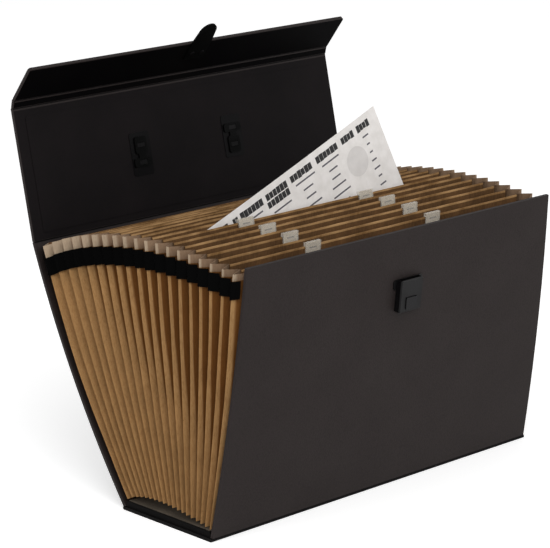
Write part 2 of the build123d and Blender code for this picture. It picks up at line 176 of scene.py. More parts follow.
def thick_sheet(name: str, rows: Sequence[Sequence[Vector]], thickness: float) -> Object:
    """Makes a closed sheet of even thickness round a grid of points.

    Args:
        name: Name of the piece.
        rows: Grid of mid-surface points in metres; all rows have the same length.
        thickness: Thickness of the sheet in metres.

    Returns:
        The new object.
    """
    count, width = len(rows), len(rows[0])
    near, far = [], []
    for r, row in enumerate(rows):
        for c, point in enumerate(row):
            across = row[min(c + 1, width - 1)] - row[max(c - 1, 0)]
            up = rows[min(r + 1, count - 1)][c] - rows[max(r - 1, 0)][c]
            normal = across.cross(up).normalized() * (thickness / 2)
            near.append(point + normal)
            far.append(point - normal)
    total = count * width
    faces = []
    for r in range(count - 1):
        for c in range(width - 1):
            a, b = r * width + c, r * width + c + 1
            d, e = a + width, b + width
            faces.append((a, b, e, d))
            faces.append((total + d, total + e, total + b, total + a))
    for r in range(count - 1):
        for c in (0, width - 1):
            a, d = r * width + c, (r + 1) * width + c
            side = (a, d, total + d, total + a)
            faces.append(side if c == 0 else side[::-1])
    for c in range(width - 1):
        for r in (0, count - 1):
            a, b = r * width + c, r * width + c + 1
            side = (a, total + a, total + b, b)
            faces.append(side if r == 0 else side[::-1])
    return build_piece(name, near + far, faces)


def flat_shapes(name: str, shapes: Sequence[Sequence[Vector]]) -> Object:
    """Makes a piece of flat faces.

    Args:
        name: Name of the piece.
        shapes: Outline of each face in metres.

    Returns:
        The new object.
    """
    points, faces = [], []
    for shape in shapes:
        faces.append(tuple(range(len(points), len(points) + len(shape))))
        points += shape
    return build_piece(name, points, faces)


def dress_node(name: str, finish: "Finish") -> None:
    """Gives a carried-over solid its finish.

    Args:
        name: Name of the solid.
        finish: Its finish.
    """
    for slot in NODES[name].material_slots:
        slot.material = finish.material()
    log.info("solid %s: %s", name, finish.name)


def settle(obj: Object, body: str, finish: "Finish") -> None:
    """Dresses a new piece and lets it ride on its body.

    Args:
        obj: The piece.
        body: Body that carries it.
        finish: Its finish.
    """
    obj.data.materials.append(finish.material())
    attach(obj, body)
    log.info("piece %s rides on %s: %s", obj.name, body, finish.name)


# ---------------------------------------------------------------- finishes


class Surface(Enum):
    """How the surface of a moulded piece was made."""

    SPARKED = "sparked"
    POLISHED = "polished"


@dataclass(frozen=True)
class Finish:
    """A finish with one base colour; each kind adds its own texture."""

    name: str
    colour: str
    roughness: float = 0.6
    ior: float = 1.5
    specular: float = 0.5

    def material(self) -> Material:
        """Returns the material of this finish, made once."""
        return bpy.data.materials.get(self.name) or self._make()

    def _make(self) -> Material:
        """Builds the node tree and returns the material."""
        material = bpy.data.materials.new(self.name)
        material.use_nodes = True
        graph = Graph(material.node_tree)
        graph.shader = graph.add(
            "BsdfPrincipled",
            {
                "Base Color": hex_to_linear(self.colour),
                "Roughness": self.roughness,
                "IOR": self.ior,
                "Specular IOR Level": self.specular,
            },
        )
        graph.add("OutputMaterial", links={"Surface": graph.shader})
        graph.here = {"Vector": graph.add("TexCoord").outputs["Object"]}
        self._texture(graph)
        return material

    def _texture(self, graph: Graph) -> None:
        """Adds what the finish shows beyond its plain colour.

        Args:
            graph: The material in the making, with its shader and object coordinates.
        """


@dataclass(frozen=True)
class EmbossedPaper(Finish):
    """Leather-look covering paper: a plastic-coated paper pressed with a fine pebble grain.

    The coating gives a low satin sheen that breaks up on the pebbles.
    """

    worn_colour: str = "#3c3637"
    grain: float = 1.5 * MM  # the real pebbles are about 0.6 mm, drawn coarser so that they show
    depth: float = 0.12 * MM

    def _texture(self, graph: Graph) -> None:
        """Adds pebble grain with painted shade in the gaps between the pebbles, cloudy handling
        marks and uneven gloss.

        Args:
            graph: The material in the making.
        """
        pebbles = {"feature": "SMOOTH_F1", "Scale": 1 / self.grain, "Smoothness": 0.6}
        cells = graph.add("TexVoronoi", pebbles, graph.here)
        marks = {"Scale": 1 / (60 * MM), "Detail": 4.0, "Roughness": 0.6}
        clouds = graph.add("TexNoise", marks, graph.here)
        fine = graph.add("TexNoise", {"Scale": 1 / (self.grain * 0.6), "Detail": 3.0}, graph.here)
        cloudy = graph.add("MapRange", {"From Min": 0.35, "From Max": 0.7}, {"Value": clouds})
        ends = {6: hex_to_linear(self.colour), 7: hex_to_linear(self.worn_colour)}
        base = graph.add("Mix", {"data_type": "RGBA", **ends}, {"Factor": cloudy})
        # Painted shade: the colour is darker in the gaps between the pebbles and a little lighter
        # on their tops.
        pebble_gap_shade = graph.add(
            "MapRange",
            {"From Min": 0.0, "From Max": 0.8, "To Min": 1.08, "To Max": 0.8},
            {"Value": cells},
        )
        shaded = graph.add(
            "VectorMath", {"operation": "SCALE"}, {0: base.outputs[2], "Scale": pebble_gap_shade}
        )
        graph.feed("Base Color", shaded)
        satin = {"To Min": self.roughness - 0.1, "To Max": self.roughness + 0.12}
        graph.feed("Roughness", graph.add("MapRange", satin, {"Value": fine}))
        height = graph.add("Math", {"operation": "SUBTRACT"}, {0: fine, 1: cells})
        relief = {"Strength": 0.5, "Distance": self.depth}
        graph.feed("Normal", graph.add("Bump", relief, {"Height": height}))


@dataclass(frozen=True)
class KraftPaper(Finish):
    """Unbleached kraft paper or card: matt, with fibres, flecks and paler folds.

    On pleats the valleys are darkened with painted shade, and the folds are paler, partly from
    rubbing and partly from a painted highlight.
    """

    fibre_colour: str = "#a98458"
    # darker pulp on plain paper; on pleats, painted shade in the valleys
    dark_pulp_and_valley_shade: str = "#5a3b20"
    # on pleats, the crease: partly rubbed wear, partly a painted highlight
    fold_wear_and_highlight: str = "#b29268"
    fibre: float = 3.0 * MM  # real fibres are 1 to 3 mm long and 0.03 mm wide
    pleated: bool = False

    def _texture(self, graph: Graph) -> None:
        """Adds fibres, flecks, cloudy pulp, and on pleats painted valley shade and paler folds.

        Args:
            graph: The material in the making.
        """
        stretched = graph.add("Mapping", {"Scale": (1.0, 1.0, 0.22)}, graph.here)
        fibres = graph.add(
            "TexNoise",
            {"Scale": 2.5 / self.fibre, "Detail": 5.0, "Roughness": 0.65},
            {"Vector": stretched},
        )
        pulp = graph.add("TexNoise", {"Scale": 1 / (25 * MM), "Detail": 3.0}, graph.here)
        flecks = graph.add("TexVoronoi", {"Scale": 1 / (4.5 * MM)}, graph.here)
        streak = graph.add(
            "MapRange", {"From Min": 0.42, "From Max": 0.75, "To Max": 0.55}, {"Value": fibres}
        )
        fibrous = graph.add(
            "Mix",
            {"data_type": "RGBA", 7: hex_to_linear(self.fibre_colour)},
            {"Factor": streak, 6: self._paper(graph, pulp)},
        )
        speck = graph.add(
            "MapRange",
            {"From Min": 0.05, "From Max": 0.13, "To Min": 0.72, "To Max": 1.0},
            {"Value": flecks},
        )
        tone = graph.add(
            "MapRange",
            {"From Min": 0.3, "From Max": 0.7, "To Min": 0.9, "To Max": 1.08},
            {"Value": pulp},
        )
        both = graph.add("Math", {"operation": "MULTIPLY"}, {0: speck, 1: tone})
        shaded = graph.add(
            "VectorMath", {"operation": "SCALE"}, {0: fibrous.outputs[2], "Scale": both}
        )
        graph.feed("Base Color", shaded)
        relief = {"Strength": 0.35, "Distance": 0.08 * MM}
        graph.feed("Normal", graph.add("Bump", relief, {"Height": fibres}))

    def _paper(self, graph: Graph, pulp: Node) -> NodeSocket:
        """Colour of the paper before its fibres: on pleats painted shade by the depth of the pleat,
        otherwise the cloudy pulp.

        Args:
            graph: The material in the making.
            pulp: The noise that draws the pulp.

        Returns:
            The socket that gives the colour.
        """
        driver = pulp.outputs["Fac"]
        stops = [(0.35, self.dark_pulp_and_valley_shade), (0.65, self.colour)]
        if self.pleated:
            driver = graph.add("Attribute", {"attribute_name": "pleat_shade_and_wear"}).outputs["Fac"]
            # painted shade in the valleys, up to a crease that is partly rubbed and partly a
            # painted highlight
            stops = [
                (0.12, self.dark_pulp_and_valley_shade),
                (0.45, self.colour),
                (0.88, self.colour),
                (1.0, self.fold_wear_and_highlight),
            ]
        ramp = graph.add("ValToRGB", links={"Fac": driver})
        elements = ramp.color_ramp.elements
        while len(elements) < len(stops):
            elements.new(0.5)
        for element, (position, colour) in zip(elements, stops):
            element.position = position
            element.color = hex_to_linear(colour)
        return ramp.outputs["Color"]


@dataclass(frozen=True)
class CoatedTape(Finish):
    """Glossy plastic tape, calendered smooth; it shows sharp highlights and faint ripples."""

    ripple: float = 5.0 * MM

    def _texture(self, graph: Graph) -> None:
        """Adds faint ripples and dust to the gloss.

        Args:
            graph: The material in the making.
        """
        ripples = graph.add("TexNoise", {"Scale": 1 / self.ripple, "Detail": 2.0}, graph.here)
        dust = graph.add("TexNoise", {"Scale": 1 / (1.2 * MM), "Detail": 4.0}, graph.here)
        low, high = self.roughness, self.roughness + 0.2
        dulled = {"From Min": 0.4, "From Max": 0.8, "To Min": low, "To Max": high}
        graph.feed("Roughness", graph.add("MapRange", dulled, {"Value": dust}))
        relief = {"Strength": 0.25, "Distance": 0.3 * MM}
        graph.feed("Normal", graph.add("Bump", relief, {"Height": ripples}))


@dataclass(frozen=True)
class MouldedPlastic(Finish):
    """Injection-moulded plastic.

    A sparked tool leaves a fine grain that softens highlights; a polished one keeps them sharp.
    """

    surface: Surface = Surface.SPARKED
    spark: float = 0.9 * MM  # the real spark marks are about 0.2 mm, drawn coarser so they show

    def _texture(self, graph: Graph) -> None:
        """Adds the tool's texture, and rubbed places that shine a little more.

        Args:
            graph: The material in the making.
        """
        texture = graph.add("TexNoise", {"Scale": 1 / self.spark, "Detail": 4.0}, graph.here)
        rubbed = graph.add("TexNoise", {"Scale": 1 / (14 * MM), "Detail": 3.0}, graph.here)
        low, high = self.roughness - 0.1, self.roughness + 0.1
        polish = {"From Min": 0.3, "From Max": 0.7, "To Min": low, "To Max": high}
        graph.feed("Roughness", graph.add("MapRange", polish, {"Value": rubbed}))
        strength = 0.35 if self.surface is Surface.SPARKED else 0.06
        relief = {"Strength": strength, "Distance": 0.1 * MM}
        graph.feed("Normal", graph.add("Bump", relief, {"Height": texture}))


@dataclass(frozen=True)
class LacqueredSteel(Finish):
    """Pressed steel under black lacquer: a smooth skin with slight orange peel."""

    coat: float = 0.02

    def _texture(self, graph: Graph) -> None:
        """Adds orange peel under a thin clear coat.

        Args:
            graph: The material in the making.
        """
        peel = graph.add("TexNoise", {"Scale": 1 / (1.5 * MM), "Detail": 2.0}, graph.here)
        relief = {"Strength": 0.15, "Distance": 0.08 * MM}
        graph.feed("Normal", graph.add("Bump", relief, {"Height": peel}))
        graph.shader.inputs["Coat Weight"].default_value = self.coat
        graph.shader.inputs["Coat Roughness"].default_value = 0.2


@dataclass(frozen=True)
class ClearPlastic(Finish):
    """Clear PVC sleeve: thin and glossy, so the label shows through it with soft highlights."""

    opacity: float = 0.35

    def _texture(self, graph: Graph) -> None:
        """Thins the sleeve and clouds it slightly with handling.

        Args:
            graph: The material in the making.
        """
        haze = graph.add("TexNoise", {"Scale": 1 / (3 * MM), "Detail": 3.0}, graph.here)
        low, high = self.roughness, self.roughness + 0.15
        clouded = {"From Min": 0.35, "From Max": 0.7, "To Min": low, "To Max": high}
        graph.feed("Roughness", graph.add("MapRange", clouded, {"Value": haze}))
        graph.shader.inputs["Alpha"].default_value = self.opacity


@dataclass(frozen=True)
class PrinterPaper(Finish):
    """Uncoated white paper: matt, with a barely visible cloudy formation."""

    cloud_colour: str = "#e6e3e1"

    def _texture(self, graph: Graph) -> None:
        """Adds the cloudy formation.

        Args:
            graph: The material in the making.
        """
        clouds = graph.add("TexNoise", {"Scale": 1 / (9 * MM), "Detail": 5.0}, graph.here)
        tone = graph.add("MapRange", {"From Min": 0.35, "From Max": 0.65}, {"Value": clouds})
        ends = {6: hex_to_linear(self.cloud_colour), 7: hex_to_linear(self.colour)}
        paper = graph.add("Mix", {"data_type": "RGBA", **ends}, {"Factor": tone})
        graph.feed("Base Color", paper.outputs[2])


@dataclass(frozen=True)
class PrintedInk(Finish):
    """Black offset ink on paper: it sinks in, so it is matt and slightly uneven."""

    paper_colour: str = "#9a9796"

    def _texture(self, graph: Graph) -> None:
        """Lets a little paper show through the ink.

        Args:
            graph: The material in the making.
        """
        speckle = graph.add("TexNoise", {"Scale": 1 / (0.7 * MM), "Detail": 3.0}, graph.here)
        gaps = {"From Min": 0.55, "From Max": 0.8, "To Max": 0.35}
        thin = graph.add("MapRange", gaps, {"Value": speckle})
        ends = {6: hex_to_linear(self.colour), 7: hex_to_linear(self.paper_colour)}
        ink = graph.add("Mix", {"data_type": "RGBA", **ends}, {"Factor": thin})
        graph.feed("Base Color", ink.outputs[2])


COVERING = EmbossedPaper(
    "embossed_covering_paper", "#26201f", 0.62, specular=0.12, worn_colour="#2a2423"
)
# A darker copy of the covering for the folds and the base board: painted shade on the edges and
# ends that face away from the light.
COVERING_SHADED = EmbossedPaper(
    "embossed_covering_paper_folded", "#0c0b0b", 0.55, specular=0.05, worn_colour="#121010"
)
LINING_BLACK = EmbossedPaper(
    "black_lining_paper",
    "#100d0e",
    0.75,
    specular=0.08,
    worn_colour="#161213",
    grain=1.1 * MM,
    depth=0.05 * MM,
)
# A blacker copy of the black lining for the strip and the flap: painted shade, as they face down.
TURN_IN_SHADED = EmbossedPaper(
    "black_paper_turned_in", "#050405", 0.7, specular=0.02, worn_colour="#080707"
)
# Its darkest colour is painted shade in the valleys of the pleats; its palest is a crease that is
# partly rubbed and partly a painted highlight.
KRAFT_PLEAT = KraftPaper(
    "kraft_paper_pleated",
    "#643e1a",
    0.85,
    specular=0.12,
    fibre_colour="#724b24",
    dark_pulp_and_valley_shade="#301c0b",
    fold_wear_and_highlight="#a07b50",
    pleated=True,
)
# A paler copy for the bare hem above the tape, with the same painted valley shade and crease
# highlight.
KRAFT_HEM = KraftPaper(
    "kraft_paper_pale_hem",
    "#7d6550",
    0.88,
    specular=0.15,
    fibre_colour="#8f7861",
    dark_pulp_and_valley_shade="#4c3827",
    fold_wear_and_highlight="#a6937d",
    pleated=True,
)
# A darker tone of the card: painted shade for the faces that stand deep in the pockets.
KRAFT_CARD_SHADED = KraftPaper(
    "kraft_card_divider",
    "#5f4226",
    0.85,
    specular=0.2,
    fibre_colour="#7b5936",
    dark_pulp_and_valley_shade="#4f361d",
)
# A paler tone of the card: a painted highlight on the top edges that catch the light.
KRAFT_EDGE_LIT = KraftPaper(
    "kraft_card_cut_edge", "#a9855a", 0.9, specular=0.2, dark_pulp_and_valley_shade="#76552f"
)
KRAFT_FLOOR = KraftPaper(
    "kraft_paper_floor", "#5d4a35", 0.9, specular=0.2, dark_pulp_and_valley_shade="#4a3a28"
)
GREY_LINING = KraftPaper(
    "grey_board_lining",
    "#574f45",
    0.9,
    specular=0.2,
    fibre_colour="#665e53",
    dark_pulp_and_valley_shade="#494239",
)
PAD_CARD = EmbossedPaper(
    "black_covered_card", "#080707", 0.6, specular=0.04, worn_colour="#0c0b0b"
)
TAPE = CoatedTape("glossy_black_tape", "#020202", 0.2, specular=0.02)
BLACK_PLASTIC = MouldedPlastic("moulded_black_plastic", "#0b0a0b", 0.4, 1.49, 0.15)
BUTTON_PLASTIC = MouldedPlastic(
    "polished_black_plastic", "#0d0c0e", 0.25, 1.49, 0.14, Surface.POLISHED
)
HANDLE_PLASTIC = MouldedPlastic("moulded_black_handle", "#080708", 0.45, 1.49, 0.06)
NYLON = MouldedPlastic("moulded_black_nylon", "#040404", 0.5, 1.53, 0.03)
STEEL = LacqueredSteel("black_lacquered_steel", "#090809", 0.45, specular=0.03)
CLEAR = ClearPlastic("clear_sleeve_plastic", "#dcd6ca", 0.12, 1.53)
PAPER = PrinterPaper("white_printer_paper", "#f1edea", 0.85, cloud_colour="#e6e2de")
LABEL = PrinterPaper("white_label_card", "#ddd2c0", 0.8, cloud_colour="#d3c6b1")
INK = PrintedInk("black_printed_ink", "#0e0d0f", 0.75)
GREY_INK = PrintedInk("grey_printed_ink", "#55535a", 0.8)
TINT = PrinterPaper("pale_printed_tint", "#e0dcd9", 0.85, cloud_colour="#d8d4d1")


# ---------------------------------------------------------------- the fan of pockets


def along(point: Pair, lean: float, distance: float, offset: float = 0.0) -> Pair:
    """Goes up a leaning line and then off it towards the back.

    Args:
        point: Start as (y, z) in millimetres.
        lean: Lean in degrees from upright, positive towards the back.
        distance: Distance up the line.
        offset: Distance off the line, square to it, towards the back.

    Returns:
        The point reached, as (y, z).
    """
    tilt = math.radians(lean)
    y = point[0] + distance * math.sin(tilt) + offset * math.cos(tilt)
    z = point[1] + distance * math.cos(tilt) - offset * math.sin(tilt)
    return y, z


def turned(point: Pair, centre: Pair, angle: float) -> Pair:
    """Turns a point about a centre.

    Args:
        point: The point as (y, z).
        centre: The centre as (y, z).
        angle: Angle in degrees about +X.

    Returns:
        The turned point as (y, z).
    """
    turn = math.radians(angle)
    y, z = point[0] - centre[0], point[1] - centre[1]
    return (
        centre[0] + y * math.cos(turn) - z * math.sin(turn),
        centre[1] + y * math.sin(turn) + z * math.cos(turn),
    )


def between(start: Pair, end: Pair) -> Vector:
    """Vector from one (y, z) point to another."""
    return Vector((0, end[0] - start[0], end[1] - start[1]))


@dataclass(frozen=True)
class Fan:
    """Shape of the fan of pockets between the two boards, in millimetres and degrees."""

    pockets: int = 19
    back_tilt: float = 30.2
    front_tilt: float = -7.6
    back_bow: float = 8.0
    front_bow: float = -3.3
    back_fold: Pair = (55.75, 1.5)
    front_fold: Pair = (-55.75, 1.5)
    fold_start: float = 1.8
    back_height: float = 249.0
    front_height: float = 245.2
    panel_foot: float = 10.0
    board_gap: float = 2.9
    pivot_span: float = 112.0
    pivot_level: float = 10.35
    floor_depth: float = 105.0
    rise: float = 8.0
    skew: float = 0.72
    height_back: float = 236.5
    height_front: float = 229.5
    least_kept: float = 0.2

    def bowed(self, height: float, start: float, end: float, bow: float) -> float:
        """Stand-off of a bowed sheet from its chord at a height."""
        return 4 * bow * (height - start) * (end - height) / (end - start) ** 2

    def lean(self, share: float) -> float:
        """Lean of the fan from 0 at the back board to 1 at the front board."""
        return self.back_tilt + (self.front_tilt - self.back_tilt) * share

    def axes(self, share: float) -> tuple[Vector, Vector]:
        """Directions up a pocket and out of its front.

        Args:
            share: 0 at the back board to 1 at the front board.

        Returns:
            The two directions.
        """
        lean = math.radians(self.lean(share))
        rise, run = math.sin(lean), math.cos(lean)
        return Vector((0, rise, run)), Vector((0, -run, rise))

    def height(self, share: float) -> float:
        """Height of the pleats."""
        return self.height_back + (self.height_front - self.height_back) * share

    def body(self, fold: int) -> str:
        """Body that carries a fold line between two pockets.

        Args:
            fold: Number of the fold line, from 0 at the back board.

        Returns:
            Name of the body.
        """
        if fold <= 0:
            return "back_cover"
        if fold >= self.pockets:
            return "front_cover"
        return f"divider_{fold:02d}_body"

    def swing(self, fold: int) -> tuple[Pair, float]:
        """How a fold line turns as the box closes.

        Args:
            fold: Number of the fold line.

        Returns:
            The axis as (y, z), and the angle in degrees about +X.
        """
        body = self.body(fold)
        joint = next(j for j in frame["joints"] if j["child"] == body)
        _, y, z = joint["pos_m"]
        angle = max(joint["range_deg"], key=abs) * joint["axis"][0]
        return (y / MM, z / MM), angle

    def pivot(self, share: float) -> Pair:
        """Foot of a fold line; the feet stand in an arch while the box is open.

        Args:
            share: 0 at the back board to 1 at the front board.

        Returns:
            The foot as (y, z).
        """
        y = self.pivot_span * (0.5 - share)
        reach = min(max(0.5 - y / self.floor_depth, 0.0), 1.0)
        return y, self.pivot_level + self.rise * math.sin(math.pi * reach**self.skew)

    def point(self, share: float, reach: float) -> Pair:
        """Point at a reach up a fold line; the end folds follow the boards.

        Args:
            share: 0 at the back board to 1 at the front board.
            reach: Distance up the fold line.

        Returns:
            The point as (y, z).
        """
        up = self.panel_foot + reach
        if share <= 0:
            off = self.bowed(up, self.fold_start, self.back_height, self.back_bow)
            return along(self.back_fold, self.back_tilt, up, off - self.board_gap)
        if share >= 1:
            off = self.bowed(up, self.fold_start, self.front_height, self.front_bow)
            return along(self.front_fold, self.front_tilt, up, off + self.board_gap)
        bow = self.back_bow + (self.front_bow - self.back_bow) * share
        off = self.bowed(reach, 0, self.height(share), bow)
        return along(self.pivot(share), self.lean(share), reach, off)

    def closing(self, fold: int, low: float, high: float) -> tuple[Vector, Vector, float]:
        """How a stretch of pleat between two fold lines flattens as the box closes.

        Args:
            fold: Number of the fold line behind the pleat.
            low: Lowest reach of the stretch.
            high: Highest reach of the stretch.

        Returns:
            The axis it flattens along, the anchor in metres, and the share that is kept.
        """
        share, ahead = fold / self.pockets, (fold + 1) / self.pockets
        middle = (low + high) / 2
        here, there = self.point(share, middle), self.point(ahead, middle)
        up = between(self.point(share, low), self.point(share, high)).normalized()
        normal = Vector((1, 0, 0)).cross(up)
        centre, angle = self.swing(fold)
        moved = turned(turned(there, *self.swing(fold + 1)), centre, -angle)
        kept = between(here, moved).dot(normal) / between(here, there).dot(normal)
        return normal, Vector((0, *here)) * MM, min(max(kept, self.least_kept), 1.0)


FAN = Fan()
LID_LEAN, STRIP_LEAN, FLAP_LEAN = 12.7, -12.15, -37.0
LID_DEPTH, STRIP_DEPTH = 120.5, 8.5
LID_FOLD = along(FAN.back_fold, FAN.back_tilt, FAN.back_height)
STRIP_FOLD = along(LID_FOLD, LID_LEAN, LID_DEPTH)
FLAP_FOLD = along(STRIP_FOLD, STRIP_LEAN, STRIP_DEPTH)


class Side(Enum):
    """The two ends of the box, with the sign of X."""

    LEFT = -1
    RIGHT = 1


@dataclass(frozen=True)
class Band:
    """One band up a pleat: its reaches, its sheet, and the solid that it is seen in place of."""

    name: str  # with a place for the pocket's number
    span: Span
    rows: int
    finish: Finish
    slot: str = "kraft_card"
    solid: str = "gusset"
    thickness: float = 0.45
    stand: float = 0.0
    dip: float = 0.0


@dataclass
class Concertina:
    """Pleated side papers and the tape round them, one piece for each pleat and band.

    Each piece rides on the fold line behind it.
    """

    inner: float = 181.2
    outer: float = 195.2
    flare: float = 4.3
    levels: int = 4
    hem_back: float = 11.0
    hem_front: float = 5.5
    hem_taper: float = 1.6
    tape_height: float = 16.0
    flanks: tuple[float, ...] = (0.0, 0.28, 0.55, 0.8, 0.93, 0.985)
    curl: float = 0.35
    crest: float = 0.12
    shoulder: float = 0.05
    uneven: float = 0.7
    drift: float = 0.1
    # painted shade: the lowest tone, deep in the valleys of the pleats
    deepest_shade: float = 0.12
    painted_fan_light: Triple = (0.4, -1.0, 0.48)  # painted light and shade along the fan: its value at the back, and how it changes towards the front
    valley_fade: float = 0.8
    end_pale: float = 0.2
    # the outer crease is paler: partly rubbed wear, partly a painted highlight
    crease_from: float = 0.9
    crease_wear_and_highlight: float = 3.0

    def _row(self, side: Side, pocket: int, reaches: Sequence[float], band: Band) -> list[Vector]:
        """Points across one pleat, from the fold behind it to the fold in front.

        Args:
            side: Which end of the box.
            pocket: Number of the pocket, from 0 at the back.
            reaches: Reach up the fold behind, the outer fold and the fold in front.
            band: The band, which may stand off the paper and dip less into the valleys.

        Returns:
            The points in metres.
        """
        shares = [(pocket + step) / FAN.pockets for step in (0.0, 0.5, 1.0)]
        behind, crest, ahead = (Vector(FAN.point(s, r)) for s, r in zip(shares, reaches))
        seed = Vector((pocket * 1.7, reaches[1] * 0.012, side.value * 5.0))
        crest += (ahead - behind) * self.drift * noise.noise(seed + Vector((9.0, 0, 0)))
        outer = self.outer + self.flare * (1 - reaches[1] / FAN.height_back)
        outer -= self.uneven * abs(noise.noise(seed))
        inner = self.inner + band.dip
        flanks = []
        for near in (behind, ahead):
            flank = []
            for u in self.flanks:
                x = inner + (outer - inner) * u + self.curl * math.sin(math.pi * u)
                flank.append((min(x, outer + self.shoulder), near + (crest - near) * u))
            flanks.append(flank)
        row = flanks[0] + [(outer + self.crest, crest)] + flanks[1][::-1]
        return [Vector((side.value * (x + band.stand), yz[0], yz[1])) * MM for x, yz in row]

    def _mark_painted_shade(self, piece: Object, pocket: int) -> None:
        """Marks on a piece its painted shade and wear: darker deep in the pleat, paler at the
        crease.

        Args:
            piece: The piece.
            pocket: Number of the pocket; those at the back are painted paler, as lit, and those
                towards the front darker, as in shade.
        """
        share = pocket / FAN.pockets
        # Painted light: the pleats are paler towards the back board and darker towards the front
        # board, where shade falls.
        rubbed = self.painted_fan_light[0] + self.painted_fan_light[1] * share + self.painted_fan_light[2] * share**2
        if pocket in (0, FAN.pockets - 1):  # the end pleats are made paler
            rubbed += self.end_pale
        values = []
        for vertex in piece.data.vertices:
            rise = (abs(vertex.co.x) / MM - self.inner) / (self.outer - self.inner)
            rise = min(max(rise, 0.0), 1.0)
            # Painted shade: darker towards the inner folds, paler towards the outer crease.
            paper = self.deepest_shade + (1 - self.deepest_shade) * rise**self.valley_fade
            values.append(paper + rubbed + self.crease_wear_and_highlight * max(rise - self.crease_from, 0.0))
        pleat_shade_and_wear = piece.data.attributes.new("pleat_shade_and_wear", "FLOAT", "POINT")
        pleat_shade_and_wear.data.foreach_set("value", values)

    def _stretch(self, side: Side, pocket: int, band: Band) -> None:
        """Builds one band of a pleat and lets it ride on the fold line behind it.

        Args:
            side: Which end of the box.
            pocket: Number of the pocket, from 0 at the back.
            band: The band.
        """
        grid = []
        for step in range(band.rows + 1):
            reaches = []
            for part in (0.0, 0.5, 1.0):
                low, high = band.span((pocket + part) / FAN.pockets)
                reaches.append(low + (high - low) * step / band.rows)
            grid.append(self._row(side, pocket, reaches, band))
        word = side.name.lower()
        name = f"{word}_{band.name.format(pocket + 1)}"
        piece = thick_sheet(name, grid, band.thickness * MM)
        self._mark_painted_shade(piece, pocket)
        settle(piece, FAN.body(pocket), band.finish)
        normal, anchor, keep = FAN.closing(pocket, *band.span(pocket / FAN.pockets))
        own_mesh(piece)
        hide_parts(f"{word}_{band.solid}")

    def _level_span(self, level: int) -> Span:
        """Lower and upper edge of a level of the pleats, below the hem, by the share of the fan."""
        ends = (level / self.levels, (level + 1) / self.levels)
        return lambda share: tuple(self._hem_span(share)[0] * end for end in ends)

    def _hem_span(self, share: float) -> Pair:
        """Lower and upper edge of the bare hem above the tape at a share of the fan."""
        narrowed = (self.hem_back - self.hem_front) * share**self.hem_taper
        return FAN.height(share) - self.hem_back + narrowed, FAN.height(share)

    def _tape_span(self, share: float) -> Pair:
        """Lower and upper edge of the tape at a share of the fan."""
        top = self._hem_span(share)[0]
        return top - self.tape_height, top

    def build(self) -> None:
        """Builds the pleats, their hems and the tape on both ends of the box."""
        bands = [
            Band(f"pleat_{{:02d}}_{level + 1}", self._level_span(level), 4, KRAFT_PLEAT)
            for level in range(self.levels)
        ]
        bands.append(Band("hem_{:02d}", self._hem_span, 2, KRAFT_HEM))
        bands.append(
            Band("tape_{:02d}", self._tape_span, 3, TAPE, "gloss_tape", "tape", 0.25, 1.9, 8.5)
        )
        for side in Side:
            for pocket in range(FAN.pockets):
                for band in bands:
                    self._stretch(side, pocket, band)


@dataclass
class IndexTabs:
    """Clear tab holders on four dividers, each with a label that carries a plain mark."""

    dividers: tuple[int, ...] = (11, 13, 15, 17)
    places: tuple[float, ...] = (-84.0, 66.0)
    mark: Pair = (9.0, 1.3)
    proud: float = 0.2

    def build(self) -> None:
        """Dresses the holders and labels and prints a short bar on each label."""
        for number in self.dividers:
            dress_node(f"tab_holders_{number}", CLEAR)
            dress_node(f"tab_labels_{number}", LABEL)
            low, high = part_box(f"tab_labels_{number}")
            up, front = FAN.axes(number / FAN.pockets)
            _, y, z = (low + high) / 2 + front * self.proud * MM
            half = (self.mark[0] / 2 * MM, self.mark[1] / 2 * MM)
            bars = [
                [Vector((place * MM + a * half[0], y, z)) + up * (b * half[1]) for a, b in CORNERS]
                for place in self.places
            ]
            marks = flat_shapes(f"label_marks_{number}", bars)
            settle(marks, f"divider_{number:02d}_body", GREY_INK)


